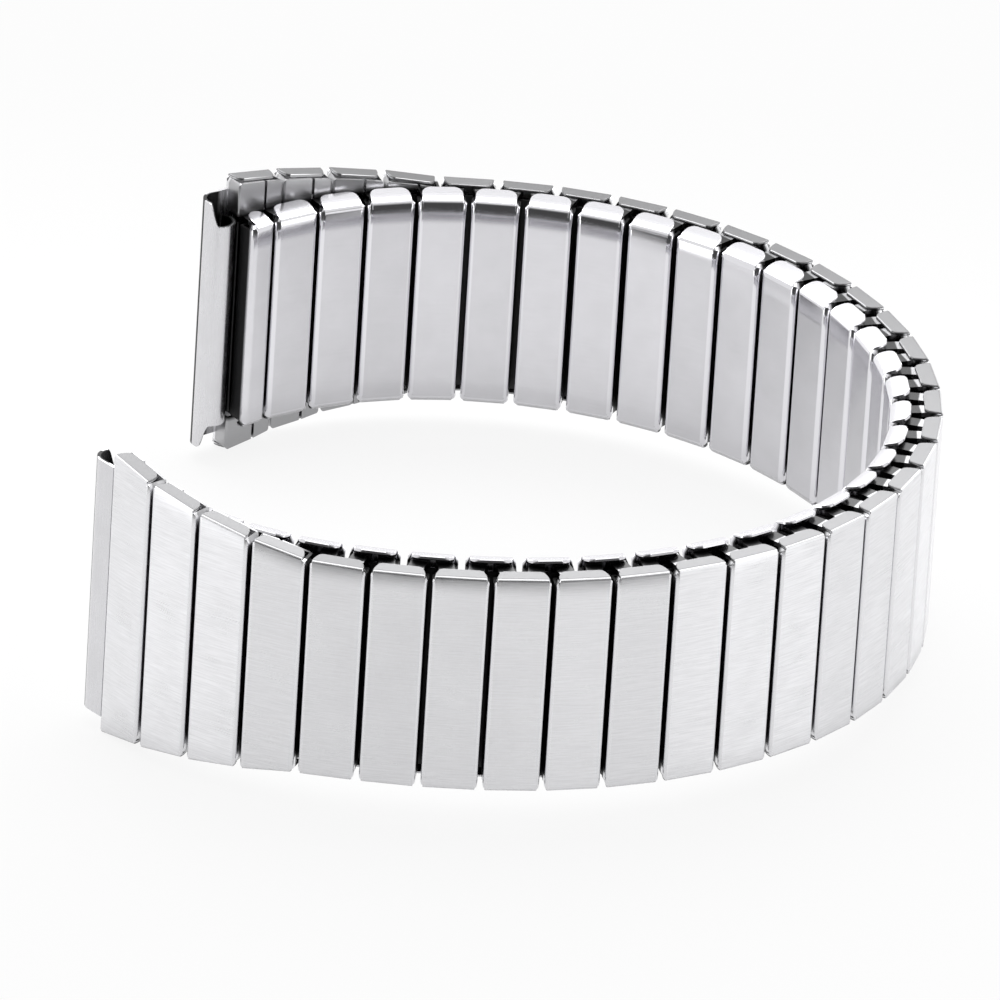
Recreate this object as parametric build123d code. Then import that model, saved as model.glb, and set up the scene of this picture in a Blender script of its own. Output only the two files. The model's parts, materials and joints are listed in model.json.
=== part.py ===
from build123d import *
from math import cos, radians, sin
import os

os.makedirs("parts", exist_ok=True)

# An expansion band for a wrist watch: two rows of folded sheet steel sleeves,
# staggered by half a pitch and tied by flat U-shaped bows.  The band stands on
# its edge.  Lengths are in millimetres and angles in degrees.

# Driving sizes of the whole band
links = 35
pitch = 4.33
band_width = 16.5
end_width = 21.8
taper_share = 4.12
sheet = 0.2
row_gap = 0.45

# The plan of the outer face from the front end: runs of joints, and the angle of each joint in a run
start_heading = -49.0
joint_counts = (4, 3, 5, 5, 13, 4)
turn_angles = (9.6, 5.5, 7.25, 8.55, 7.45, 9.3)

# Sleeves of both rows: size along the band, depth, tabs folded over the ends
outer_gap = 0.36
inner_gap = 0.93
half_length = 1.95
sleeve_depth = 1.7
outer_tab = 1.29
inner_tab = 1.5
edge_round = 0.25
tab_chamfer = 0.5
seam_gap = 0.22
seam_offset = -0.43

# Bows: a flat strip bent to a U, one leg in each row
bow_width = 1.15
bow_thick = 0.35
bow_play = 0.06
leg_depth = 0.645
outer_leg_place = 0.87
inner_leg_place = 0.78
leg_end = 1.0
web_cut_depth = 0.97

# Leaf springs
spring_width = 1.9
half_spring_width = 1.0
spring_thick = 0.08
spring_sag = 0.07
spring_seat = 0.03
spring_length = 14.2

# Lug ends: a sheet rolled into a tube for the watch's spring bar
lug_width = 19.5
lug_neck_width = 15.9
lug_sheet = 0.25
lug_drop = 0.08
bar_bore = 0.95
lug_reach = 2.6
lug_wrap = 310.0
lug_wide_wrap = 125.0
lug_corner = 0.6

# Every third pitch bends, and the bows of the others swing to let the band stretch
flex_every = 3

# One overrun for all cuts
overrun = 1.0

outer_length = pitch - outer_gap
inner_length = pitch - inner_gap
thickness = 2 * sleeve_depth + row_gap
inner_leg_depth = thickness - leg_depth
tab_inside = band_width / 2 - sheet
web_outside = tab_inside - bow_play
web_inside = web_outside - bow_thick
flange_end = web_inside - bow_play
bow_span = inner_leg_depth - leg_depth


# Plan of the band: joint points of the outer face and the heading of each link
turns = [angle for count, angle in zip(joint_counts, turn_angles) for each in range(count)]
headings = [start_heading]
for turn in turns:
    headings.append(headings[-1] + turn)
points = [(0.0, 0.0)]
for heading in headings:
    x, y = points[-1]
    points.append((x + pitch * cos(radians(heading)), y + pitch * sin(radians(heading))))


def place(x, y, heading, height=0.0):
    """A frame on the outer face: X along the band, Y inwards, Z across the band."""
    along = (cos(radians(heading)), sin(radians(heading)), 0)
    return Plane(origin=(x, y, height), x_dir=along, z_dir=(0, 0, 1))


def outer_frame(number):
    (x0, y0), (x1, y1) = points[number - 1], points[number]
    return place((x0 + x1) / 2, (y0 + y1) / 2, headings[number - 1])


def inner_frame(number):
    """Inner sleeves sit at the joints between outer links, and half sleeves at the band's ends."""
    before = headings[max(number - 1, 0)]
    after = headings[min(number, links - 1)]
    if number == 0:
        before = after - turns[0]
    if number == links:
        after = before + turns[-1]
    return place(*points[number], (before + after) / 2)


def half_width(joint):
    """Half of the band's width at a joint: constant, but widening over the end links."""
    from_end = min(joint, links - joint)
    slope = (end_width - band_width) / 2 / taper_share
    return band_width / 2 + slope * max(taper_share - from_end, 0)


def sleeve(length, left, right, tab, seam):
    """A sheet folded to a flat tube, with its outer plate folded over both ends.

    left and right are the half widths at the sleeve's two long sides.
    """
    side = length / 2
    longest = max(left, right)
    with BuildSketch(Plane.XY) as outside:
        with Locations((0, sleeve_depth / 2)):
            Rectangle(length, sleeve_depth)
        chamfer(outside.vertices().group_by(Axis.Y)[0], edge_round)
    with BuildSketch(Plane.XY) as folded:
        add(outside.sketch)
        with Locations((0, sleeve_depth / 2)):
            Rectangle(length - 2 * sheet, sleeve_depth - 2 * sheet, mode=Mode.SUBTRACT)
        with Locations((seam, sleeve_depth - sheet / 2)):
            Rectangle(seam_gap, 2 * sheet, mode=Mode.SUBTRACT)
    body = extrude(folded.sketch, longest, both=True)
    shell = Polyline(
        (-side, left - sheet), (side, right - sheet), (side, sheet - right), (-side, sheet - left), close=True
    )
    body &= extrude(Plane.XZ * make_face(shell), -sleeve_depth)
    # room for the bows' webs, cut through flanges and side walls at both ends
    room = band_width / 2 - sheet - flange_end
    if min(left, right) <= band_width / 2:
        room += overrun
    cut = Box(length + 2 * overrun, web_cut_depth + overrun, room, align=(Align.CENTER, Align.MIN, Align.MIN))
    cut = Pos(0, sleeve_depth - web_cut_depth, flange_end) * cut
    body -= cut
    body -= mirror(cut, Plane.XY)
    # tabs
    lid = Polyline((-side, left), (side, right), (side, right - sheet), (-side, left - sheet), close=True)
    lid = extrude(Plane.XZ * make_face(lid), -tab)
    corner = Polyline((side, tab - tab_chamfer), (side, tab), (side - tab_chamfer, tab), close=True)
    corner = extrude(make_face(corner), longest + overrun, both=True)
    lid -= corner
    lid -= mirror(corner, Plane.YZ)
    lid &= extrude(outside.sketch, longest + overrun, both=True)
    body += lid
    body += mirror(lid, Plane.XY)
    return body.solid()


def bow():
    """One bow of the upper edge, about its own middle: Y from the outer leg to the inner leg."""
    reach = (bow_span + bow_thick) / 2
    outline = Polyline(
        (-reach, leg_end),
        (-reach, web_outside),
        (reach, web_outside),
        (reach, leg_end),
        (reach - bow_thick, leg_end),
        (reach - bow_thick, web_inside),
        (bow_thick - reach, web_inside),
        (bow_thick - reach, leg_end),
        close=True,
    )
    strip = extrude(Plane.YZ * make_face(outline), bow_width / 2, both=True)
    return strip.solid()


def leaf_spring(width):
    """A leaf spring that lies under the plate of a sleeve, bearing on the bows' legs."""
    end = spring_length / 2
    near = sheet + spring_seat
    outline = Polyline(
        (-end, near),
        (0, near + spring_sag),
        (end, near),
        (end, near + spring_thick),
        (0, near + spring_sag + spring_thick),
        (-end, near + spring_thick),
        close=True,
    )
    # drawn with its length along X and its depth along Y, then stood up along Z
    strip = extrude(make_face(outline), width / 2, both=True)
    return Rot(0, 90, 0) * strip


def lug_end():
    """A lug end: X outwards from the end link's side, Y inwards, Z across the band."""
    outer = bar_bore + lug_sheet
    middle = Vector(lug_reach - outer, lug_drop + outer)

    def rolled(start, wrap):
        ahead = CenterArc(middle, outer, start, wrap)
        back = CenterArc(middle, bar_bore, start + wrap, -wrap)
        return make_face([ahead, Line(ahead @ 1, back @ 0), back, Line(back @ 1, ahead @ 0)])

    top = -90
    plate = Rectangle(middle.X, lug_sheet, align=(Align.MIN, Align.MIN))
    plate = extrude(Pos(0, lug_drop) * plate, lug_width / 2, both=True)
    wide = extrude(rolled(top, lug_wide_wrap), lug_width / 2, both=True)
    step = radians(top + lug_wide_wrap)
    tip = middle + Vector(cos(step), sin(step)) * (outer - lug_sheet / 2)
    corners = [
        min(wide.edges(), key=lambda edge: (edge.center() - tip - Vector(0, 0, side * lug_width / 2)).length)
        for side in (1, -1)
    ]
    wide = fillet(corners, lug_corner)
    neck = extrude(rolled(top + lug_wide_wrap, lug_wrap - lug_wide_wrap), lug_neck_width / 2, both=True)
    return (plate + wide + neck).solid()


def bow_frame(outer, outer_place, inner, inner_place):
    """A frame at the middle of a bow, with Y from its outer leg to its inner leg."""
    first = outer.from_local_coords(Vector(outer_place, leg_depth, 0))
    second = inner.from_local_coords(Vector(inner_place, inner_leg_depth, 0))
    inwards = (second - first).normalized()
    return Plane(origin=(first + second) / 2, x_dir=inwards.cross(Vector(0, 0, 1)), z_dir=(0, 0, 1))


def at(frame, shape):
    """A copy of a shape, moved from the origin to a frame."""
    return frame.location * shape


def inwards_out(shape):
    """The same shape for the inner row, turned over so that its plate faces the wrist."""
    return Pos(0, thickness) * mirror(shape, Plane.XZ)


plain_sleeve = sleeve(outer_length, band_width / 2, band_width / 2, outer_tab, seam_offset)
inner_sleeve = inwards_out(sleeve(inner_length, band_width / 2, band_width / 2, inner_tab, seam_offset))
half_sleeve = inwards_out(sleeve(half_length, band_width / 2, band_width / 2, inner_tab, 0))
upper_bow = bow()
lower_bow = mirror(upper_bow, Plane.XY)
outer_spring = leaf_spring(spring_width)
inner_spring = inwards_out(outer_spring)
half_spring = inwards_out(leaf_spring(half_spring_width))
lug = lug_end()


def outer_sleeve(number):
    left, right = half_width(number - 1), half_width(number)
    if left == right:
        return plain_sleeve
    return sleeve(outer_length, left, right, outer_tab, seam_offset)


def bow_pair(frame):
    return [at(frame, upper_bow), at(frame, lower_bow)]


def near_bows(number):
    """The bows from an outer sleeve to the inner sleeve after it."""
    return bow_pair(bow_frame(outer_frame(number), outer_leg_place, inner_frame(number), -inner_leg_place))


def far_bows(number):
    """The bows from an inner sleeve to the outer sleeve after it."""
    return bow_pair(bow_frame(outer_frame(number + 1), -outer_leg_place, inner_frame(number), inner_leg_place))


def half_link(number):
    """The half sleeve at an end of the band, which lies on the band's side of the end joint."""
    middle = inner_length / 2 - half_length / 2
    if number == links:
        middle = -middle
    frame = inner_frame(number)
    return [at(frame, Pos(middle) * half_sleeve), at(frame, Pos(middle) * half_spring)]


def link(number):
    """All pieces that move together at one pitch."""
    pieces = [at(outer_frame(number), outer_sleeve(number)), at(outer_frame(number), outer_spring)]
    if number < links:
        pieces += [at(inner_frame(number), inner_sleeve), at(inner_frame(number), inner_spring)]
    pieces += near_bows(number)
    if number % flex_every == 0 and number < links:
        pieces += far_bows(number)
    if number == 1:
        pieces += half_link(0) + far_bows(0)
    if number == links:
        pieces += half_link(links)
    return pieces


def lug_frame(number, side):
    """A frame at the outer side of an end link: X outwards, Y inwards."""
    frame = outer_frame(number)
    edge = frame.from_local_coords(Vector(side * outer_length / 2, 0, 0))
    return Plane(origin=edge, x_dir=frame.x_dir * side, z_dir=(0, 0, side))


nodes = {}
for number in range(1, links + 1):
    nodes[f"link_{number:02d}"] = link(number)
for number in range(1, links):
    if number % flex_every:
        nodes[f"bows_{number:02d}"] = far_bows(number)
nodes["lug_end_front"] = [at(lug_frame(1, -1), lug)]
nodes["lug_end_back"] = [at(lug_frame(links, 1), lug)]

# The origin goes under the middle of the whole band, at the height of its lower edge
box = Compound([piece for pieces in nodes.values() for piece in pieces]).bounding_box()
shift = Pos(-box.center().X, -box.center().Y, -box.min.Z)
print("nodes", len(nodes), "solids", sum(len(pieces) for pieces in nodes.values()))
print("size", box.size.X, box.size.Y, box.size.Z)
for name, pieces in nodes.items():
    export_step(Compound(label=name, children=[shift * piece for piece in pieces]), f"parts/{name}.step")
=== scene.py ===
# %% [markdown]
# # An expansion band for a wrist watch
# The band is two rows of folded sheet steel sleeves, staggered by half a pitch.  U-shaped bows tie the
# rows together, and a leaf spring in each sleeve presses on the legs of the bows, so that the band
# pulls itself short.  Here the looks are built around the fixed frame: every piece is placed from the
# same few sizes that the solids were made from, so nothing has to be fitted by eye.

# %% Load the frame
import bmesh
import bpy
import json
from itertools import count
from math import cos, pi, radians, sin, tan
from mathutils import Matrix, Vector
from types import SimpleNamespace


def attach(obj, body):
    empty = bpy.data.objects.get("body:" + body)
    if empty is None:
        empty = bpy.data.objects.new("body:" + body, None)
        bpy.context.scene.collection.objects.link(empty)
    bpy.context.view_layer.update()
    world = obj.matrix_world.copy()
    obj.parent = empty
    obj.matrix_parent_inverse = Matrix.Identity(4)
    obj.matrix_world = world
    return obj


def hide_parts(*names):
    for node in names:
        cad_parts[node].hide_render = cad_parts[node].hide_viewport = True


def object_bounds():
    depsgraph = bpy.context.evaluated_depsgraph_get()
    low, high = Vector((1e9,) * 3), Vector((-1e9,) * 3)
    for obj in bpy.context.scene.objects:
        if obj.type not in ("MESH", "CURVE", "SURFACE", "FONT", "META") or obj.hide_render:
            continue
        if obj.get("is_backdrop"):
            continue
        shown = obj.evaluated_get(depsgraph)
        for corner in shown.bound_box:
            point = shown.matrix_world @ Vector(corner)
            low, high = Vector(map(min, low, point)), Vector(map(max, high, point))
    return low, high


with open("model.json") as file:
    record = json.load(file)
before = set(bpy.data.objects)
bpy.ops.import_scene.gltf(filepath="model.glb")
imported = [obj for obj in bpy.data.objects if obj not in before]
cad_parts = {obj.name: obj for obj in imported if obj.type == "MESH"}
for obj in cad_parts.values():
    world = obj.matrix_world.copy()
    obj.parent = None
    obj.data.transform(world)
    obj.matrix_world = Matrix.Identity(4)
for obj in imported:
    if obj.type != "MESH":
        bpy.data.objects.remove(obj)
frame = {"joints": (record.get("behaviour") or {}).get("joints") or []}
frame_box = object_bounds()
bpy.context.scene.view_settings.view_transform = "Standard"

# %% [markdown]
# ## Sizes
# Blender works in metres and a watch band is measured in millimetres, so each size is written as a
# number of millimetres.  A sleeve is a flat tube of 0.2 mm sheet, the two rows lie 0.45 mm apart, and
# the last four links at each end widen towards the watch.  Each size could be typed where it is used,
# but then the rows would no longer fit together after a change.

# %% Sizes of the band
mm = 0.001
links = 35
pitch = 4.33 * mm
outer_gap = 0.36 * mm
inner_gap = 0.8 * mm
outer_length = pitch - outer_gap
inner_length = pitch - inner_gap
half_length = 1.95 * mm
band_width = 16.5 * mm
end_width = 21.8 * mm
widening_links = 4.12
sheet = 0.2 * mm
row_gap = 0.45 * mm
sleeve_depth = 1.7 * mm
thickness = 2 * sleeve_depth + row_gap
print("outer sleeve", round(outer_length / mm, 2), "mm long, band", round(thickness / mm, 2), "mm thick")

# %% [markdown]
# ## Plan of the band
# Seen from above, the band is a chain of short straight steps.  Each link is one pitch long, and each
# joint turns by the angle of its run.  A smooth curve would give nearly the same outline, but the real
# band is a chain, and its joints are the places where the inner sleeves sit and where the band bends.

# %% Joints of the chain
start_heading = -49.0
runs = ((4, 9.6), (3, 5.5), (5, 7.25), (5, 8.55), (13, 7.45), (4, 9.3))
turns = [radians(angle) for joint_count, angle in runs for each in range(joint_count)]
headings = [radians(start_heading)]
for turn in turns:
    headings.append(headings[-1] + turn)
joints = [Vector((0, 0, 0))]
for heading in headings:
    joints.append(joints[-1] + pitch * Vector((cos(heading), sin(heading), 0)))
print(len(turns), "joints turn through", round(sum(turns) / radians(1)), "degrees in all")


# %% Places of the sleeves
def placed(origin, heading):
    """The place of a piece: X along the band, Y inwards, Z across."""
    return Matrix.Translation(origin) @ Matrix.Rotation(heading, 4, "Z")


def outer_place(number):
    """Outer sleeves sit in the middle of their link."""
    return placed((joints[number - 1] + joints[number]) / 2, headings[number - 1])


def inner_place(number):
    """Inner sleeves sit at the joints, turned halfway between the links before and after."""
    before = headings[max(number - 1, 0)]
    after = headings[min(number, links - 1)]
    if number == 0:
        before = after - turns[0]
    if number == links:
        after = before + turns[-1]
    return placed(joints[number], (before + after) / 2)


# %% [markdown]
# The plan starts at its own first joint, while the frame's origin is under the middle of the band.  One
# hinge of the frame is known in both: the bend of the band's middle turns about the outer leg of a bow
# in link 19.  The step between the two is added to every joint.

# %% Move the plan into the frame
hinge_link = 19
outer_leg_place = 0.87 * mm
leg_depth = 0.645 * mm
middle_hinge = next(joint for joint in frame["joints"] if joint["name"] == "flex_18")
own_hinge = outer_place(hinge_link) @ Vector((-outer_leg_place, leg_depth, 0))
step = Vector(middle_hinge["pos_m"]) - own_hinge
joints = [joint + step for joint in joints]
print("plan moved by", [round(value / mm, 3) for value in step], "mm")

# %% [markdown]
# ## Camera
# The photograph was taken with a long lens from 1.3 m away, some 27 degrees above the band, turned
# aside by a third of a degree and leaning over by 3.6 degrees.  A camera can be set by eye, but on a
# curve without one straight line small errors hide well, so these numbers come from matching the
# corners of the links.

# %% Camera
look_down = 0.46338
look_aside = 0.006
lean = 0.06269
film_width = 36
lens_share = 18.28
camera_distance = 1291.1 * mm
looked_at = Vector((-1.282, -3.293, 10.96)) * mm

level = Vector((cos(look_aside), -sin(look_aside), 0))
view = Vector((0, 0, 1)).cross(level) * cos(look_down) - Vector((0, 0, sin(look_down)))
upright = level.cross(view)
camera_x = level * cos(lean) + upright * sin(lean)
camera_y = upright * cos(lean) - level * sin(lean)
camera_data = bpy.data.cameras.new("camera")
camera_data.sensor_width = film_width
camera_data.lens = lens_share * film_width
camera = bpy.data.objects.new("camera", camera_data)
axes = Matrix((camera_x, camera_y, -view)).transposed().to_4x4()
camera.matrix_world = Matrix.Translation(looked_at - view * camera_distance) @ axes
bpy.context.scene.collection.objects.link(camera)
bpy.context.scene.camera = camera
print("lens", round(camera_data.lens, 1), "mm")

# %% [markdown]
# ## Floor
# The floor, the surroundings, the steels and some shapes are all made by trees of nodes.  One helper
# adds a node.  Each of its inputs is given by name or number, as a fixed value or as the output of an
# earlier node, so that a tree reads from top to bottom.


# %% Nodes
def new_material(name):
    """A material and its empty tree."""
    material = bpy.data.materials.new(name)
    material.use_nodes = True
    material.node_tree.nodes.clear()
    return material, material.node_tree


def add_node(tree, kind, inputs=None, **settings):
    """A node with its settings, and its inputs as fixed values or as outputs of other nodes."""
    node = tree.nodes.new(kind)
    for key, value in settings.items():
        setattr(node, key, value)
    for key, value in (inputs or {}).items():
        if isinstance(value, bpy.types.NodeSocket):
            tree.links.new(value, node.inputs[key])
        else:
            node.inputs[key].default_value = value
    return node


# %% [markdown]
# The photograph's ground is white, with no edge and only a trace of shadow.  A pale floor under the
# lamps alone would show a grey shadow, and a floor that only glows would make the band float.  So the
# two are mixed: the camera sees mostly the glow, and the steel mirrors more of the shadow, which gives
# its faces their shade.

# %% Floor
floor_size = 3.0
floor_colour = (0.8, 0.8, 0.8, 1)
white = (1, 1, 1, 1)
shadow_seen = 0.12
shadow_mirrored = 0.42

floor_material, tree = new_material("white floor")
pale = add_node(tree, "ShaderNodeBsdfDiffuse", {"Color": floor_colour})
glow = add_node(tree, "ShaderNodeEmission", {"Color": white, "Strength": 1.0})
ray = add_node(tree, "ShaderNodeLightPath").outputs
camera_share = {0: ray["Is Camera Ray"], 1: 1 - shadow_seen}
seen = add_node(tree, "ShaderNodeMath", camera_share, operation="MULTIPLY")
mirror_share = {0: ray["Is Glossy Ray"], 1: 1 - shadow_mirrored, 2: seen.outputs[0]}
mirrored = add_node(tree, "ShaderNodeMath", mirror_share, operation="MULTIPLY_ADD")
mixed = add_node(tree, "ShaderNodeMixShader", {
    0: mirrored.outputs[0], 1: pale.outputs[0], 2: glow.outputs[0],
})
add_node(tree, "ShaderNodeOutputMaterial", {"Surface": mixed.outputs[0]})

floor_mesh = bpy.data.meshes.new("floor")
signs = ((-1, -1), (1, -1), (1, 1), (-1, 1))
floor_mesh.from_pydata([(x * floor_size, y * floor_size, 0) for x, y in signs], [], [(0, 1, 2, 3)])
floor_mesh.materials.append(floor_material)
floor = bpy.data.objects.new("floor", floor_mesh)
bpy.context.scene.collection.objects.link(floor)
floor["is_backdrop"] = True
print("floor", 2 * floor_size, "m wide")

# %% [markdown]
# ## Surroundings
# Steel shows what stands around it more than its own colour, so the surroundings are the main part of
# its look.  A picture of a studio could be wrapped round the scene, but a few nodes do it too.  They
# are white all round and a little brighter behind the band, with one dark patch in front of it, as a
# studio has where the photographer stands.  That patch makes the dark bands on the bends and tabs.  The
# camera itself sees plain white.

# %% World
sides_light = 0.95
back_light = 1.12
back_reached = 0.7
dark_light = 0.07
dark_direction = (0, -0.93, 0.37)
dark_border = (0.52, 0.73)

world = bpy.data.worlds.new("studio")
bpy.context.scene.world = world
world.use_nodes = True
tree = world.node_tree
tree.nodes.clear()
direction = add_node(tree, "ShaderNodeTexCoord").outputs["Generated"]
split = add_node(tree, "ShaderNodeSeparateXYZ", {0: direction})
compared = {0: direction, 1: dark_direction}
facing = add_node(tree, "ShaderNodeVectorMath", compared, operation="DOT_PRODUCT")
dark = add_node(tree, "ShaderNodeMapRange", {
    "Value": facing.outputs["Value"], "From Min": dark_border[0], "From Max": dark_border[1],
})
behind = add_node(tree, "ShaderNodeMapRange", {
    "Value": split.outputs["Y"], "From Min": 0.0, "From Max": back_reached,
    "To Min": sides_light, "To Max": back_light,
})
light = add_node(tree, "ShaderNodeMix", {
    "Factor": dark.outputs[0], "A": behind.outputs[0], "B": dark_light,
})
ray = add_node(tree, "ShaderNodeLightPath").outputs
seen = add_node(tree, "ShaderNodeMix", {
    "Factor": ray["Is Camera Ray"], "A": light.outputs["Result"], "B": 1.0,
})
sky = add_node(tree, "ShaderNodeBackground", {"Color": white, "Strength": seen.outputs["Result"]})
add_node(tree, "ShaderNodeOutputWorld", {"Surface": sky.outputs[0]})
print("light from", dark_light, "in the dark patch to", back_light, "behind the band")

# %% [markdown]
# ## Lamps
# Small bright lamps would leave hard spots on polished steel, so all four are broad and soft.  One
# stands on each side, one above and behind, and a small card hangs over the back of the band, where the
# upper tabs mirror it.


# %% Lamps
def softbox(name, at, size, power, aim=looked_at):
    """A soft oblong lamp that points at the band."""
    lamp = bpy.data.lights.new(name, "AREA")
    lamp.shape = "RECTANGLE"
    lamp.size, lamp.size_y = size
    lamp.energy = power
    holder = bpy.data.objects.new(name, lamp)
    holder.location = at
    holder.rotation_euler = (aim - Vector(at)).to_track_quat("-Z", "Y").to_euler()
    bpy.context.scene.collection.objects.link(holder)
    print("lamp", name, power, "W")


card_aim = Vector((0, -0.025, 0.022))
softbox("key", at=(-0.6, -0.35, 0.25), size=(0.15, 0.5), power=0.5)
softbox("fill", at=(0.6, -0.3, 0.3), size=(0.3, 0.5), power=0.4)
softbox("top", at=(0.0, 0.25, 0.7), size=(0.8, 0.4), power=1.2)
softbox("card", at=(0.0, 0.045, 0.066), size=(0.13, 0.04), power=0.046, aim=card_aim)

# %% [markdown]
# ## Folded sleeves
# A sleeve is one blank of 0.2 mm sheet, folded to a flat tube whose two edges meet in a seam on its
# hidden side.  A block with rounded edges would do for its plate, but its open ends and cut walls show
# beside the bows.  So the mesh follows the folded section, which is drawn first: one line for the
# outside of the sheet and one for the inside, round from one side of the seam to the other.

# %% Section of a sleeve
flange_radius = 0.2 * mm
tightest = 0.03 * mm
fold_steps = 4
seam_gap = 0.22 * mm
seam_offset = -0.43 * mm
web_cut_depth = 0.97 * mm


def arc(middle, radius, start, turn):
    """Points along an arc; angles are in quarter turns."""
    angles = [(start + turn * step / fold_steps) * pi / 2 for step in range(fold_steps + 1)]
    return [(middle[0] + radius * cos(angle), middle[1] + radius * sin(angle)) for angle in angles]


def folded_line(length, bend, seam, inset):
    """The section's outer line (inset 0) or inner line (inset by the sheet), round from seam to seam."""
    side = length / 2 - inset
    far = sleeve_depth - inset
    top = max(bend - inset, tightest)
    low = max(flange_radius - inset, tightest)
    cut = (side, sleeve_depth - web_cut_depth)
    half = arc((side - low, far - low), low, 1, -1) + [cut] + arc((side - top, inset + top), top, 0, -1)
    turned_over = [(-x, y) for x, y in reversed(half)]
    return [(seam + seam_gap / 2, far)] + half + turned_over + [(seam - seam_gap / 2, far)]


print("points of a section", len(folded_line(outer_length, flange_radius, seam_offset, 0)))


# %% [markdown]
# Between the two lines the sheet is a grid of cells, and cells are left out where the blank is cut away
# for the bows.  Cutting slots with a boolean would also work, but it leaves ragged faces, while here
# each cell knows which of its neighbours are missing and closes its own rim there.


# %% Cells of a folded sheet
def add_cells(shape, lines, heights, present):
    """Adds a folded sheet: cells between an outer and an inner line, at each point's heights."""
    made = {}

    def corner(index, line, level):
        key = index, line, level
        if key not in made:
            x, y = lines[line][index]
            made[key] = shape.verts.new((x, y, heights(index, x, y)[level]))
        return made[key]

    rows = len(lines[0]) - 1
    columns = len(heights(0, 0, 0)) - 1

    def there(row, column):
        return 0 <= row < rows and 0 <= column < columns and present(row, column)

    for row in range(rows):
        for column in range(columns):
            if not there(row, column):
                continue
            ring = [(row, column), (row + 1, column), (row + 1, column + 1), (row, column + 1)]
            for line in (0, 1):
                shape.faces.new([corner(index, line, level) for index, level in ring])
            beside = [(row, column - 1), (row + 1, column), (row, column + 1), (row - 1, column)]
            for near, far, other in zip(ring, ring[1:] + ring[:1], beside):
                if not there(*other):
                    rim = [(near, 0), (far, 0), (far, 1), (near, 1)]
                    shape.faces.new([corner(index, line, level) for (index, level), line in rim])


# %% [markdown]
# ## The two forms of sleeve
# Both rows are folded from the same sheet, but they are worn on different sides.  The outer plates are
# crisp, with tight folds and tabs that only have a bevel at their corners.  The inner ones lie on the
# skin, so their tabs are folded over a thicker bar, spring back by 14 degrees and have fully rounded
# corners.  One set of names for the sizes lets the same code fold both.  A corner's outline is pairs of
# shares: how far along it, and how much is cut.

# %% Forms of both rows
bevelled = ((0.0, 0.0), (0.3, 0.05), (0.75, 0.21), (0.92, 0.34), (1.0, 0.52))
rounded_off = ((0.0, 0.0), (0.38, 0.08), (0.71, 0.29), (0.92, 0.62), (1.0, 1.0))
outer_form = SimpleNamespace(
    length=outer_length, bend=0.25 * mm, tube_corner=0.4 * mm, fold=0.2 * mm, spring_back=0.0,
    tab=1.29 * mm, tab_corner=1.0 * mm, outline=bevelled,
)
inner_form = SimpleNamespace(
    length=inner_length, bend=0.4 * mm, tube_corner=0.45 * mm, fold=0.72 * mm, spring_back=radians(14),
    tab=1.5 * mm, tab_corner=0.62 * mm, outline=rounded_off,
)
print("tabs reach", outer_form.tab / mm, "mm down outside and", inner_form.tab / mm, "mm inside")

# %% [markdown]
# A tab is a tongue of the plate, a little narrower than it and folded over a round bar.  It could be
# bent with a modifier, but a row of sections along its path is exact: first round the bend, then along
# the flat to the free edge, where the corners are cut.  Both upper edges have a small break, as
# tumbling leaves, and that catches a fine line of light.

# %% Path of a tab
edge_break = 0.04 * mm
bend_steps = 6


def tab_path(form):
    """Depth, height, lean, cut on each side and dip of the upper edge, for each section of a tab."""
    full_bend = pi / 2 - form.spring_back
    rows = []
    for step in range(bend_steps + 1):
        angle = step / bend_steps * full_bend
        rows.append((form.fold * (1 - cos(angle)), form.fold * (sin(angle) - 1), angle, 0.0, 0.0))
    start_y, start_z = rows[-1][:2]

    def rise(y):
        return start_z + (y - start_y) / tan(full_bend)

    for along, cut in form.outline:
        y = form.tab - form.tab_corner * (1 - along) - edge_break
        rows.append((y, rise(y), full_bend, form.tab_corner * cut, 0.0))
    rows.append((form.tab, rise(form.tab), full_bend, form.tab_corner * form.outline[-1][1], edge_break))
    return rows


print("sections of a tab", len(tab_path(outer_form)))


# %% Mesh of a tab
def add_tab(shape, half_across, form, half, direction):
    """Adds a tab; half gives the sleeve's half width at an X, direction is 1 at the top, -1 below."""
    rings = []
    for y, z, angle, cut, dip in tab_path(form):
        wide = half_across - cut
        section = [(-wide, sheet), (-wide, edge_break + dip), (edge_break - wide, dip)]
        section += [(-x, depth) for x, depth in reversed(section)]
        rings.append([
            shape.verts.new((x, y + cos(angle) * depth, direction * (half(x) + z - sin(angle) * depth)))
            for x, depth in section
        ])
    for low, high in zip(rings, rings[1:]):
        for index in range(len(low)):
            shape.faces.new((low[index - 1], low[index], high[index], high[index - 1]))
    shape.faces.new(rings[0])
    shape.faces.new(rings[-1])


# %% [markdown]
# ## Smooth bends and sharp edges
# Bent sheet is flat on its plates and round on its bends, and a few faces have to show both.  More
# faces would do it, but there are 71 sleeves.  Instead all faces are smooth, edges above 35 degrees are
# sharp, and the normals are weighed by area, so that a plate stays flat up to its bend.  Each point
# also keeps its place on the piece, in millimetres, under the name own, and the finish follows that
# wherever the piece goes.

# %% Mesh objects
sharp_above = radians(35)
merge_distance = 0.0005 * mm
area_weight = 100


def settle(thing):
    """Makes what the modifiers show the object's own plain mesh, and removes them."""
    bpy.context.view_layer.update()
    mesh = bpy.data.meshes.new_from_object(thing.evaluated_get(bpy.context.evaluated_depsgraph_get()))
    thing.modifiers.clear()
    thing.data = mesh


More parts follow.
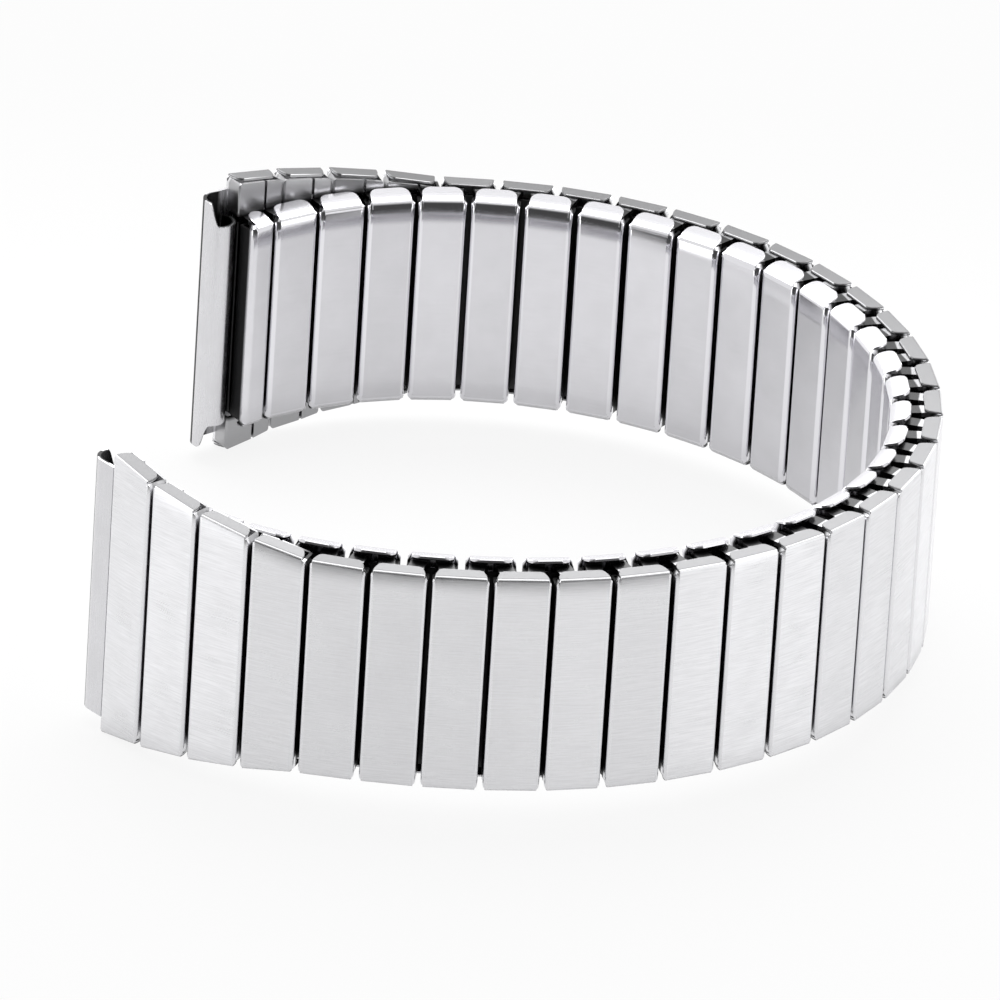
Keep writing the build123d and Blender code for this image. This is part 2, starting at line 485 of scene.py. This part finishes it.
def to_mesh(shape, name, own=None):
    """A mesh object at the origin, faces outwards.

    own gives the place on the piece that its finish follows, where that isn't the plain place.
    """
    bmesh.ops.remove_doubles(shape, verts=shape.verts, dist=merge_distance)
    bmesh.ops.recalc_face_normals(shape, faces=shape.faces)
    mesh = bpy.data.meshes.new(name)
    shape.to_mesh(mesh)
    shape.free()
    mesh.polygons.foreach_set("use_smooth", [True] * len(mesh.polygons))
    mesh.set_sharp_from_angle(angle=sharp_above)
    places = mesh.attributes.new("own", "FLOAT_VECTOR", "POINT")
    found = [own(vert.co) if own else vert.co for vert in mesh.vertices]
    places.data.foreach_set("vector", [value / mm for at in found for value in at])
    thing = bpy.data.objects.new(name, mesh)
    bpy.context.scene.collection.objects.link(thing)
    return thing


def weigh_normals(thing):
    """Bends take their shade from the plates beside them, as large faces count for more."""
    weights = thing.modifiers.new("weights", "WEIGHTED_NORMAL")
    weights.keep_sharp = True
    weights.weight = area_weight
    settle(thing)


# %% [markdown]
# ## Sleeves
# The middle of the band is 16.5 mm wide, and the last four links at each end are cut wider step by
# step, up to 21.8 mm, to meet the watch.  Each could have a width of its own, but a straight slope is
# what the photograph shows, so one rule gives the half width at every joint.

# %% Width at each joint
plain_half = band_width / 2


def half_width(joint):
    """Half of the band's width at a joint: constant, but widening over the end links."""
    from_end = min(joint, links - joint)
    slope = (end_width - band_width) / 2 / widening_links
    return plain_half + slope * max(widening_links - from_end, 0)


print("half widths from the end inwards", [round(half_width(joint) / mm, 2) for joint in range(6)], "mm")

# %% [markdown]
# A sleeve's walls end just under the round of its tabs, and their own corners are rounded.  Deeper down
# both walls are cut away, so that the webs of the bows can pass.  The wide links keep a piece of wall
# beyond those slots.  Inner sleeves are the same tube turned over, and stand 0.1 mm higher, as in the
# photograph the rows don't quite line up.  Plain sleeves are all alike, so a pattern is folded once for
# each kind, and copied later.

# %% Fold a sleeve
bow_thick = 0.35 * mm
bow_play = 0.06 * mm
plain_end = plain_half - sheet
flange_end = plain_end - bow_thick - 2 * bow_play
row_lift = 0.1 * mm
least_wall = 0.02 * mm
tab_narrowing = 0.7


def folded_sleeve(name, length, left, right, inwards=False):
    """A sleeve whose half width goes from left to right; inwards turns it over for the inner row."""
    form = inner_form if inwards else outer_form
    seam = 0 if length == half_length else seam_offset
    side = length / 2
    lines = folded_line(length, form.bend, seam, 0), folded_line(length, form.bend, seam, sheet)
    walled = min(left, right) > plain_half

    def half(x):
        return left + (right - left) * (x / length + 0.5)

    def end(x, y):
        """Where the tube ends: under the round of the tab's fold, with its own corners rounded."""
        lowered = form.fold - (form.fold ** 2 - (form.fold - min(y, form.fold)) ** 2) ** 0.5
        share = min(max(abs(x) - side + form.tube_corner, 0) / form.tube_corner, 1)
        rounded = form.tube_corner * (1 - (1 - share ** 2) ** 0.5) * min(y / sheet, 1)
        return half(x) - max(lowered, sheet) - rounded

    def heights(index, x, y):
        if walled:
            upper = [flange_end, plain_end, max(end(x, y), plain_end + least_wall)]
        else:
            upper = [flange_end, max(end(x, y), flange_end)]
        return [-z for z in reversed(upper)] + upper

    middle = (len(heights(0, 0, 0)) - 1) // 2

    def present(row, column):
        deep = (lines[0][row][1] + lines[0][row + 1][1]) / 2 > sleeve_depth - web_cut_depth
        return not (deep and column in (middle - 1, middle + 1))

    shape = bmesh.new()
    add_cells(shape, lines, heights, present)
    for direction in (1, -1):
        add_tab(shape, side - tab_narrowing * form.bend, form, half, direction)
    if inwards:
        for vert in shape.verts:
            vert.co.y = thickness - vert.co.y
            vert.co.z += row_lift

    def own(at):
        return at.x, thickness - at.y if inwards else at.y, at.z

    sleeve = to_mesh(shape, name, own)
    over = sleeve.data.attributes.new("over", "FLOAT", "POINT")
    over.data.foreach_set("value", [(half(vert.co.x) - plain_half) / mm for vert in sleeve.data.vertices])
    weigh_normals(sleeve)
    return sleeve


print("cut walls end", round((plain_half - flange_end) / mm, 2), "mm short of the plate's ends")

# %% Patterns of the sleeves
plain_sleeve = folded_sleeve("plain", outer_length, plain_half, plain_half)
inner_sleeve = folded_sleeve("inner", inner_length, plain_half, plain_half, True)
half_sleeve = folded_sleeve("half", half_length, plain_half, plain_half, True)
outer_patterns = []
for number in range(1, links + 1):
    left, right = half_width(number - 1), half_width(number)
    pattern = plain_sleeve
    if left != right:
        pattern = folded_sleeve(f"wide {number}", outer_length, left, right)
    outer_patterns.append(pattern)
print("faces of a sleeve", len(plain_sleeve.data.polygons))

# %% [markdown]
# ## Steel
# All the pieces are bare stainless steel, and what tells them apart is how each one was finished.  A
# picture of brushed metal could be laid on them, but it repeats and blurs close up.  Nodes make the
# marks instead: a fine noise is drawn out along the brushing, and a broad cloudy one stands for uneven
# pressure.  Both move by the piece's own random shade, so that no two sleeves carry the same marks, and
# each sleeve is a touch lighter or darker than the next.


# %% A steel in the making
class Steel:
    """A material in the making: marks give its light and gloss, and areas of a piece change them."""

    def __init__(self, name):
        self.material, self.tree = new_material(name)
        self.place = self.kept("own", "Vector")

    def node(self, kind, inputs=None, **settings):
        return add_node(self.tree, kind, inputs, **settings)

    def kept(self, name, output="Fac"):
        """What the mesh keeps at its points under a name."""
        return self.node("ShaderNodeAttribute", attribute_name=name).outputs[output]

    def maths(self, operation, *values):
        return self.node("ShaderNodeMath", dict(enumerate(values)), operation=operation).outputs[0]

    def vector_maths(self, operation, *values):
        return self.node("ShaderNodeVectorMath", dict(enumerate(values)), operation=operation).outputs[0]

    def spread(self, source, low, high, start=0.3, end=0.7):
        """Low up to start, high from end on, and even between; noise mostly fills 0.3 to 0.7."""
        ends = {"Value": source, "From Min": start, "From Max": end, "To Min": low, "To Max": high}
        return self.node("ShaderNodeMapRange", ends).outputs["Result"]

    def mask(self, source, start, fade):
        """0 until the source reaches start, and 1 once it is past the fade."""
        return self.spread(source, 0, 1, start, start + fade)

    def set_in_area(self, mask, lightness, roughness=None):
        """Where the mask is 1, the steel has this lightness and roughness."""
        blend = {"Factor": mask, "A": self.light, "B": lightness}
        self.light = self.node("ShaderNodeMix", blend).outputs["Result"]
        if roughness is not None:
            blend = {"Factor": mask, "A": self.gloss, "B": roughness}
            self.gloss = self.node("ShaderNodeMix", blend).outputs["Result"]


# %% Marks of brushing, polishing or rolling
piece_steps = (37.0, 53.0, 71.0)
cloud_scale = 0.35
cloud_light = (0.96, 1.03)
piece_light = (0.93, 1.03)
marks_gloss = (0.8, 1.2)
cloud_gloss = (0.85, 1.15)
marks_relief = 1.5
marks_height = 0.01 * mm


def marked_steel(name, roughness, strength, streaks):
    """Steel with fine marks of a strength; streaks are marks per millimetre along X, Y and Z."""
    steel = Steel(name)
    shade = steel.kept("shade")
    moved = steel.vector_maths("ADD", steel.place, steel.vector_maths("MULTIPLY", shade, piece_steps))
    drawn = steel.vector_maths("MULTIPLY", moved, streaks)
    fine = {"Vector": drawn, "Scale": 1.0, "Detail": 4.0, "Roughness": 0.6}
    marks = steel.node("ShaderNodeTexNoise", fine).outputs["Fac"]
    broad = {"Vector": moved, "Scale": cloud_scale, "Detail": 3.0}
    cloud = steel.node("ShaderNodeTexNoise", broad).outputs["Fac"]
    light = steel.maths("MULTIPLY", steel.spread(marks, 1 - strength, 1 + strength / 2),
                        steel.spread(cloud, *cloud_light))
    steel.light = steel.maths("MULTIPLY", light, steel.spread(shade, *piece_light, 0, 1))
    gloss = steel.maths("MULTIPLY", steel.spread(marks, *marks_gloss), steel.spread(cloud, *cloud_gloss))
    steel.gloss = steel.maths("MULTIPLY", gloss, roughness)
    steel.relief = steel.node("ShaderNodeBump", {
        "Strength": strength * marks_relief, "Distance": marks_height, "Height": marks,
    })
    return steel


# %% [markdown]
# Brushed steel draws a reflection out across its marks.  The shader does that by itself, once it is
# told how strongly, and which way the reflection is drawn out: here along the band's width, with a
# trace of the other two directions, because it may never be square to a face.

# %% Close the tree
drawn_direction = {"X": 0.03, "Y": 0.02, "Z": 1.0}


def finished(steel, tone, drawn_out=0.0):
    """Closes a steel's tree with its shader, and returns the material."""
    colour = steel.node("ShaderNodeVectorMath", {0: tone, "Scale": steel.light}, operation="SCALE")
    skin = steel.node("ShaderNodeBsdfPrincipled", {
        "Metallic": 1.0, "Anisotropic": drawn_out, "Base Color": colour.outputs[0],
        "Roughness": steel.gloss, "Normal": steel.relief.outputs[0],
    })
    if drawn_out:
        drawn = steel.node("ShaderNodeCombineXYZ", drawn_direction)
        steel.tree.links.new(drawn.outputs[0], skin.inputs["Tangent"])
    steel.node("ShaderNodeOutputMaterial", {"Surface": skin.outputs[0]})
    print(steel.material.name, "is made of", len(steel.tree.nodes), "nodes")
    return steel.material


# %% [markdown]
# ### Crown of a plate
# The plates of a worn band are crowned: over the last 1.4 mm they fall away a little towards their
# ends, which bends the reflections there.  More rows of faces could follow that, on each of 71
# sleeves.  But the fall is only about the thickness of the sheet, and no outline shows it, so a bump
# does it, whose height falls with the square of the way.

# %% Crown
crown_length = 1.4
crown_drop = 0.11
crown_height = 1.0 * mm


def add_crown(steel, across, flat_across):
    """Shades a plate as if it fell away before the end of its flat; distances are in millimetres."""
    rise = steel.maths("MAXIMUM", steel.maths("SUBTRACT", across, flat_across - crown_length), 0.0)
    drop = steel.maths("MULTIPLY", steel.maths("MULTIPLY", rise, rise), -crown_drop)
    crown = steel.node("ShaderNodeBump", {"Strength": 1.0, "Distance": crown_height, "Height": drop})
    steel.tree.links.new(crown.outputs[0], steel.relief.inputs["Normal"])


print("a plate falls by", round(crown_drop * crown_length ** 2, 2), "mm at the end of its flat")

# %% [markdown]
# ### Areas of a sleeve
# Brushing only reaches the plate.  The bends are worn smoother, and on the inner sleeves they are
# also painted lighter, a painted highlight.  The tabs are tumbled or polished, the outer ones much
# darker than their plate but for a painted highlight along the free edge.  The walls between two
# sleeves are painted dark, as painted shade in the gaps, and less dark on the bit of wall beyond the
# plain width, where the wide links show it.  A material for each face would give hard borders.  Masks
# find the areas instead, from the place on the piece, and fade into each other.

# %% Sleeve areas
cut_line = plain_half / mm - 0.15
end_fade = 0.05
bend_fade = 0.08
tab_fade = 0.06
# Share of the tab's lightness kept at its free edge, which leaves a painted highlight there.
rim_light = 0.7
rim_border = (0.05, 0.02)
wall_start = 0.38
wall_fade = 0.24
# Beyond this height the painted shade on the walls is lighter.
covered = 8.1
less_shaded_fade = 0.3
less_shaded_wall_steel = (0.5, 0.3)


def add_sleeve_areas(steel, borders, bend_wear_and_highlight, tabs, painted_wall_shade):
    """Sets a sleeve's bend, tab and wall areas to a lightness and roughness: painted shade and highlight."""
    flat_along, flat_across, tab_start, tab_end = borders
    along, depth, height = steel.node("ShaderNodeSeparateXYZ", {0: steel.place}).outputs
    along = steel.maths("ABSOLUTE", along)
    height = steel.maths("ABSOLUTE", height)
    across = steel.maths("SUBTRACT", height, steel.kept("over"))
    at_end = steel.mask(across, cut_line, end_fade)
    on_bend = steel.maths("MAXIMUM", steel.mask(along, flat_along, bend_fade),
                          steel.mask(across, flat_across, bend_fade))
    on_tab = steel.maths("MULTIPLY", at_end, steel.mask(depth, tab_start, tab_fade))
    # Painted highlight: near a tab's free edge its own lightness fades, so an outer tab is lighter there.
    rim = steel.spread(depth, 1, rim_light, tab_end - rim_border[0], tab_end - rim_border[1])
    not_end = steel.maths("SUBTRACT", 1.0, at_end)
    on_wall = steel.maths("MULTIPLY", not_end, steel.mask(depth, wall_start, wall_fade))
    less_shaded_wall = steel.maths("MULTIPLY", on_wall, steel.mask(height, covered, less_shaded_fade))
    # Partly painted highlight: bends are smoother, and the inner sleeves' bends are made lighter too.
    steel.set_in_area(on_bend, *bend_wear_and_highlight)
    steel.set_in_area(steel.maths("MULTIPLY", on_tab, rim), *tabs)
    # Painted shade: the walls between two sleeves are made dark, and less dark beyond the plain width.
    steel.set_in_area(on_wall, *painted_wall_shade)
    steel.set_in_area(less_shaded_wall, *less_shaded_wall_steel)
    add_crown(steel, across, flat_across)


def sleeve_borders(form, later=0.0, sooner=0.0):
    """Where the plate's flat ends along and across, and its tab's starts and ends, in millimetres."""
    along = (form.length / 2 - form.bend) / mm
    across = (plain_half - form.fold) / mm + later
    return along, across, form.fold / mm - sooner, form.tab / mm


print("half flat of the outer plate", [round(value, 2) for value in sleeve_borders(outer_form)[:2]], "mm")

# %% [markdown]
# The outer sleeves are brushed along the band with a belt, which leaves some sixteen marks in each
# millimetre and a broad soft shine.  The inner ones are only polished on a soft wheel, so they are
# smoother and mirror more.

# %% Steel of the sleeves
marks_across = 16.0
marks_along = 0.5
brushing = (marks_along, marks_across, marks_across)

brushed = marked_steel("brushed steel", roughness=0.34, strength=0.13, streaks=brushing)
borders = sleeve_borders(outer_form, later=0.05, sooner=0.12)
# Painted shade: the low lightness of the walls stands for the shade in the gaps, here and below.
add_sleeve_areas(brushed, borders, bend_wear_and_highlight=(0.9, 0.2), tabs=(0.26, 0.42), painted_wall_shade=(0.05, 0.5))
sleeve_steel = finished(brushed, tone=(0.91, 0.91, 0.929), drawn_out=0.65)
polished = marked_steel("polished steel", roughness=0.2, strength=0.03, streaks=brushing)
borders = sleeve_borders(inner_form)
# Painted highlight: a lightness above 1 makes the inner bends lighter than their plate.
add_sleeve_areas(polished, borders, bend_wear_and_highlight=(1.1, 0.12), tabs=(1.0, 0.16), painted_wall_shade=(0.04, 0.5))
inner_steel = finished(polished, tone=(0.7, 0.695, 0.722))

# %% [markdown]
# Bows and springs are cut from rolled strip and keep its grey skin, with the marks of the rolls along
# them.  Between the two rows a stretch of each bow is painted nearly black, as painted shade.  The lug
# ends are rolled from the same kind of strip, then polished outside, and are painted dark inside the
# roll, as painted shade.  Those two areas are masks again, like those of the sleeves.

# %% Steel of bows, springs and lug ends
rolling = (marks_across, marks_across, marks_along)
# Painted shade on the bows' webs between the rows:
shaded_web_start = -0.35
shaded_web_end = 0.6
shaded_web_fade = 0.1
painted_shade_light = 0.1
# Painted shade inside the roll of a lug end:
painted_shade_inside = (0.05, 0.5)


def depth_of(steel):
    """How deep a point lies on its piece, from the outer side inwards."""
    return steel.node("ShaderNodeSeparateXYZ", {0: steel.place}).outputs[1]


skinned = marked_steel("strip steel", roughness=0.3, strength=0.1, streaks=rolling)
depth = depth_of(skinned)
outer_side = skinned.mask(depth, shaded_web_start, shaded_web_fade)
inner_side = skinned.spread(depth, 1, 0, shaded_web_end, shaded_web_end + shaded_web_fade)
# Painted shade: the stretch of the web between the rows is made nearly black.
skinned.set_in_area(skinned.maths("MULTIPLY", outer_side, inner_side), painted_shade_light)
bow_steel = finished(skinned, tone=(0.45, 0.45, 0.46))
hardened = marked_steel("spring steel", roughness=0.3, strength=0.08, streaks=rolling)
spring_steel = finished(hardened, tone=(0.3, 0.3, 0.307))
rolled = marked_steel("rolled steel", roughness=0.26, strength=0.05, streaks=rolling)
# Painted shade: inside the roll and behind the plate the lug steel is made dark.
rolled.set_in_area(rolled.mask(depth_of(rolled), wall_start, wall_fade), *painted_shade_inside)
lug_steel = finished(rolled, tone=(0.72, 0.717, 0.737))

# %% [markdown]
# ## Bows and leaf springs
# Both are strips of one thickness that follow a line.  They could be extruded one by one, but one tree
# of nodes makes them all: it rounds the corners of a line and sweeps an oblong along it.  Its sizes are
# inputs with names, as a maker would ask for them.


# %% Trees that make shapes
def new_tree(name, inputs):
    """A geometry tree with named inputs: the tree, the key of each input, and what it gives inside."""
    tree = bpy.data.node_groups.new(name, "GeometryNodeTree")
    keys = {}
    for label, kind in inputs:
        keys[label] = tree.interface.new_socket(label, in_out="INPUT", socket_type=kind).identifier
    tree.interface.new_socket("Geometry", in_out="OUTPUT", socket_type="NodeSocketGeometry")
    return tree, keys, add_node(tree, "NodeGroupInput").outputs


def grown(name, tree, keys, values, points, edges=(), turned=()):
    """Runs a tree on a small mesh of points, and makes the result a plain mesh object at the origin."""
    mesh = bpy.data.meshes.new(name)
    mesh.from_pydata(points, edges, [])
    if turned:
        eulers = mesh.attributes.new("euler", "FLOAT_VECTOR", "POINT")
        eulers.data.foreach_set("vector", [value for euler in turned for value in euler])
    thing = bpy.data.objects.new(name, mesh)
    bpy.context.scene.collection.objects.link(thing)
    modifier = thing.modifiers.new("nodes", "NODES")
    modifier.node_group = tree
    for label, value in values.items():
        modifier[keys[label]] = value
    settle(thing)
    return thing


# %% A strip that follows a line
strip_bend_steps = 3
strip_merge = 0.001 * mm
strip_tree, strip_keys, given = new_tree("bent strip", [
    ("Line", "NodeSocketGeometry"), ("Width", "NodeSocketFloat"), ("Thickness", "NodeSocketFloat"),
    ("Bend radius", "NodeSocketFloat"),
])
curve = add_node(strip_tree, "GeometryNodeMeshToCurve", {"Mesh": given["Line"]})
bent = add_node(strip_tree, "GeometryNodeFilletCurve", {
    "Curve": curve.outputs[0], "Count": strip_bend_steps, "Radius": given["Bend radius"],
}, mode="POLY")
aimed = add_node(strip_tree, "GeometryNodeSetCurveNormal", {
    "Curve": bent.outputs[0], "Normal": (1, 0, 0),
}, mode="FREE")
profile = add_node(strip_tree, "GeometryNodeCurvePrimitiveQuadrilateral", {
    "Width": given["Width"], "Height": given["Thickness"],
})
swept = add_node(strip_tree, "GeometryNodeCurveToMesh", {
    "Curve": aimed.outputs[0], "Profile Curve": profile.outputs[0], "Fill Caps": True,
})
merged = add_node(strip_tree, "GeometryNodeMergeByDistance", {
    "Geometry": swept.outputs[0], "Distance": strip_merge,
})
add_node(strip_tree, "NodeGroupOutput", {0: merged.outputs[0]})
print("inputs of a strip", list(strip_keys))

# %% [markdown]
# A bow is a U: a leg in the outer row, a web across the two rows, and a leg in the inner row.  It is
# made about its own middle, and placed later.  A leaf spring lies along its sleeve, under the plate,
# and sags in the middle, where it presses on the legs.

# %% Bows and springs
inner_leg_depth = thickness - leg_depth
bow_width = 1.15 * mm
bow_bend = 0.3 * mm
leg_end = 1.0 * mm
spring_length = 14.2 * mm
spring_width = 1.9 * mm
half_spring_width = 1.0 * mm
spring_thick = 0.08 * mm
spring_sag = 0.07 * mm
spring_seat = 0.03 * mm
spring_steps = 6


def strip(name, points, width, thick, bend):
    """A strip along a line of points."""
    edges = [(index, index + 1) for index in range(len(points) - 1)]
    values = {"Width": width, "Thickness": thick, "Bend radius": bend}
    thing = grown(name, strip_tree, strip_keys, values, points, edges)
    shape = bmesh.new()
    shape.from_mesh(thing.data)
    bpy.data.objects.remove(thing)
    solid = to_mesh(shape, name)
    weigh_normals(solid)
    return solid


def leaf_spring(name, width, inwards=False):
    """A spring along the sleeve, deepest in the middle; inwards puts it in the inner row."""
    points = []
    for index in range(spring_steps + 1):
        share = 2 * index / spring_steps - 1
        depth = sheet + spring_seat + spring_sag * (1 - share * share) + spring_thick / 2
        points.append((0, thickness - depth if inwards else depth, share * spring_length / 2))
    return strip(name, points, width, spring_thick, spring_thick)


bow_half = (inner_leg_depth - leg_depth) / 2
web = plain_end - bow_play - bow_thick / 2
bow_line = [(0, -bow_half, leg_end), (0, -bow_half, web), (0, bow_half, web), (0, bow_half, leg_end)]
bow = strip("bow", bow_line, bow_width, bow_thick, bow_bend)
outer_spring = leaf_spring("outer spring", spring_width)
inner_spring = leaf_spring("inner spring", spring_width, True)
half_spring = leaf_spring("half spring", half_spring_width, True)
print("bow size", [round(value / mm, 2) for value in bow.dimensions], "mm, faces", len(bow.data.polygons))

# %% [markdown]
# ## Placing the pieces
# A second tree puts a copy of a pattern at each point of a small mesh, turned as the point says, and
# gives each copy a random shade.  Linked duplicates would save memory, but they would all look the
# same, and the export leaves copies out.  So the result becomes one plain mesh, which moves with a
# body.

# %% Copies of a pattern
copy_tree, copy_keys, given = new_tree("placed copies", [
    ("Places", "NodeSocketGeometry"), ("Pattern", "NodeSocketObject"), ("Finish", "NodeSocketMaterial"),
    ("Shade seed", "NodeSocketInt"),
])
pattern = add_node(copy_tree, "GeometryNodeObjectInfo", {"Object": given["Pattern"]})
turned = add_node(copy_tree, "GeometryNodeInputNamedAttribute", {
    "Name": "euler",
}, data_type="FLOAT_VECTOR")
rotation = add_node(copy_tree, "FunctionNodeEulerToRotation", {"Euler": turned.outputs["Attribute"]})
copies = add_node(copy_tree, "GeometryNodeInstanceOnPoints", {
    "Points": given["Places"], "Instance": pattern.outputs["Geometry"], "Rotation": rotation.outputs[0],
})
shades = add_node(copy_tree, "FunctionNodeRandomValue", {"Seed": given["Shade seed"]}, data_type="FLOAT")
marked = add_node(copy_tree, "GeometryNodeStoreNamedAttribute", {
    "Geometry": copies.outputs[0], "Name": "shade", "Value": shades.outputs["Value"],
}, data_type="FLOAT", domain="INSTANCE")
real = add_node(copy_tree, "GeometryNodeRealizeInstances", {"Geometry": marked.outputs[0]})
painted = add_node(copy_tree, "GeometryNodeSetMaterial", {
    "Geometry": real.outputs[0], "Material": given["Finish"],
})
add_node(copy_tree, "NodeGroupOutput", {0: painted.outputs[0]})
print("inputs of the copies", list(copy_keys))

# %% [markdown]
# Each finished piece gets two facts: the body that it moves with, and the solid that it stands for,
# which is hidden.  Leaving out the body would lose the piece from a pose, so one small function gives
# both.

# %% Pieces that ride
finishes = {"sleeve": sleeve_steel, "inner": inner_steel, "bow": bow_steel, "spring": spring_steel}
seeds = count(1)


def ridden(thing, body, node):
    """A finished piece moves with its body and stands for its solid, which is hidden."""
    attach(thing, body)
    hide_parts(node)


def copied(name, kind, pattern, places, body):
    """Copies of a pattern at the given places, as one piece that moves with a body."""
    points = [at.to_translation() for at in places]
    turned = [at.to_euler("XYZ") for at in places]
    values = {"Pattern": pattern, "Finish": finishes[kind], "Shade seed": next(seeds)}
    thing = grown(name, copy_tree, copy_keys, values, points, turned=turned)
    ridden(thing, body, body)


print("finishes", sorted(finishes))


# %% [markdown]
# A bow's two legs lie in the middles of two different rows, so its place follows from the two sleeves:
# its own Y runs from the leg in the outer sleeve to the leg in the inner one.  Typing 140 places would
# go wrong sooner or later.  The lower bows are the upper ones turned over.

# %% Places of the bows
inner_leg_place = 0.78 * mm
half_turn = Matrix.Rotation(pi, 4, "Y")


def bow_places(outer, outer_leg, inner, inner_leg):
    """The upper and lower bow between two sleeves, from the places of their legs along each sleeve."""
    first = outer @ Vector((outer_leg, leg_depth, 0))
    inwards = inner @ Vector((inner_leg, inner_leg_depth, 0)) - first
    across = inwards.cross(Vector((0, 0, 1)))
    middle = first + inwards / 2 + Vector((0, 0, row_lift / 2))
    upper = placed(middle, -Vector((1, 0)).angle_signed(across.to_2d()))
    return [upper, upper @ half_turn]


def near_bows(number):
    """The bows that tie the inner sleeve of a joint to the link before it."""
    return bow_places(outer_place(number), outer_leg_place, inner_place(number), -inner_leg_place)


def far_bows(number):
    """The bows that tie the inner sleeve of a joint to the link after it."""
    return bow_places(outer_place(number + 1), -outer_leg_place, inner_place(number), inner_leg_place)


middle_bow = near_bows(links // 2)[0].translation
print("bow of the middle joint at", [round(value / mm, 1) for value in middle_bow], "mm")

# %% [markdown]
# A link carries its outer sleeve, the inner sleeve after it, their springs and the near bows.  In a
# pitch that stretches, the far bows swing on a body of their own.  Every third pitch bends instead, and
# there they ride with the link.  At both ends of the band a half sleeve closes the inner row.

# %% All links
flex_every = 3
half_middle = inner_length / 2 - half_length / 2

for number in range(1, links + 1):
    body = f"link_{number:02d}"
    outer = outer_place(number)
    copied(f"outer_sleeve_{number:02d}", "sleeve", outer_patterns[number - 1], [outer], body)
    copied(f"outer_spring_{number:02d}", "spring", outer_spring, [outer], body)
    bows = near_bows(number)
    if number < links:
        inner = inner_place(number)
        copied(f"inner_sleeve_{number:02d}", "inner", inner_sleeve, [inner], body)
        copied(f"inner_spring_{number:02d}", "spring", inner_spring, [inner], body)
        if number % flex_every:
            copied(f"far_bows_{number:02d}", "bow", bow, far_bows(number), f"bows_{number:02d}")
        else:
            bows += far_bows(number)
    if number == 1:
        bows += far_bows(0)
    copied(f"near_bows_{number:02d}", "bow", bow, bows, body)

for name, number, side, body in (("front", 0, 1, "link_01"), ("back", links, -1, f"link_{links}")):
    place = inner_place(number) @ Matrix.Translation((side * half_middle, 0, 0))
    copied(f"half_sleeve_{name}", "inner", half_sleeve, [place], body)
    copied(f"half_spring_{name}", "spring", half_spring, [place], body)
sleeves = {plain_sleeve, inner_sleeve, half_sleeve, *outer_patterns}
for pattern in sleeves | {bow, outer_spring, inner_spring, half_spring}:
    bpy.data.objects.remove(pattern)

# %% [markdown]
# ## Lug ends
# The end of the band is a piece of sheet rolled round the watch's spring bar.  Its outer wall is as
# wide as the room between the lugs of the watch, and it narrows in a smooth S as it turns into the
# roll.  A bent pipe would have closed walls, so this is the same grid of cells as a sleeve, over a line
# that is nearly a full circle.

# %% Section of a lug end
lug_width = 19.5 * mm
roll_width = 15.9 * mm
lug_sheet = 0.25 * mm
lug_drop = 0.08 * mm
bar_bore = 0.95 * mm
lug_reach = 2.6 * mm
roll_start = -90
roll_turn = 310
roll_step = 5
narrowing = (15, 55)
lug_middle = Vector((lug_reach - bar_bore - lug_sheet, lug_drop + bar_bore + lug_sheet, 0))


def lug_lines():
    """Outer and inner line of the rolled sheet, and the angle in degrees at each of their points."""
    angles = [roll_step * step + roll_start for step in range(roll_turn // roll_step + 1)]
    lines = []
    for radius in (bar_bore + lug_sheet, bar_bore):
        around = [lug_middle + radius * Vector((cos(radians(a)), sin(radians(a)), 0)) for a in angles]
        lines.append([(0.0, around[0].y)] + [(at.x, at.y) for at in around])
    return lines, [roll_start] + angles


print("points round a lug end", len(lug_lines()[1]))

# %% [markdown]
# The steel of a lug end is painted dark inside the roll and behind the plate, as painted shade.  Its
# mask reads the depth on the piece, so the points inside say that they are a millimetre deep, and the
# others that they aren't.

# %% Both lug ends
inside_depth = 1 * mm
marks_stretch = 0.8
middle_shade = 0.5


def lug_half_width(angle):
    """Half of the sheet's width, which narrows in an S between two angles."""
    share = min(max((angle - narrowing[0]) / (narrowing[1] - narrowing[0]), 0), 1)
    eased = share * share * (3 - 2 * share)
    return lug_width / 2 + (roll_width - lug_width) / 2 * eased


def lug_own(at):
    """The place that the finish follows."""
    in_roll = (at.xy - lug_middle.xy).length < bar_bore + lug_sheet / 2
    behind_plate = lug_sheet / 2 < at.y - lug_drop < bar_bore
    inside = at.x > 0 and (in_roll or behind_plate)
    return at.x, inside_depth if inside else 0, at.z * marks_stretch


def lug_end(name, place, body):
    """A rolled end, which moves with the last link and stands for its own node."""
    lines, angles = lug_lines()
    shape = bmesh.new()
    halves = [lug_half_width(angle) for angle in angles]
    add_cells(shape, lines, lambda index, x, y: [-halves[index], halves[index]], lambda row, column: True)
    thing = to_mesh(shape, name, lug_own)
    weigh_normals(thing)
    thing.data.materials.append(lug_steel)
    shade = thing.data.attributes.new("shade", "FLOAT", "POINT")
    shade.data.foreach_set("value", [middle_shade] * len(thing.data.vertices))
    thing.data.transform(place)
    ridden(thing, body, name)
    print(name, "has", len(thing.data.polygons), "faces")


side = Matrix.Translation((outer_length / 2, 0, 0))
lug_end("lug_end_front", outer_place(1) @ half_turn @ side, "link_01")
lug_end("lug_end_back", outer_place(links) @ side, f"link_{links}")

# %% [markdown]
# ## Sizes of the finished pieces
# Looks must not change sizes, and that is easier measured than seen.  The size of the box of the
# finished pieces is printed after that of the solids, so that the two can be compared.

# %% Print the sizes of the two boxes
boxes = {name: [list(corner) for corner in box] for name, box in (("cad", frame_box), ("visual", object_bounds()))}
for name, (low, high) in boxes.items():
    print(name, [round((b - a) / mm, 3) for a, b in zip(low, high)], "mm")
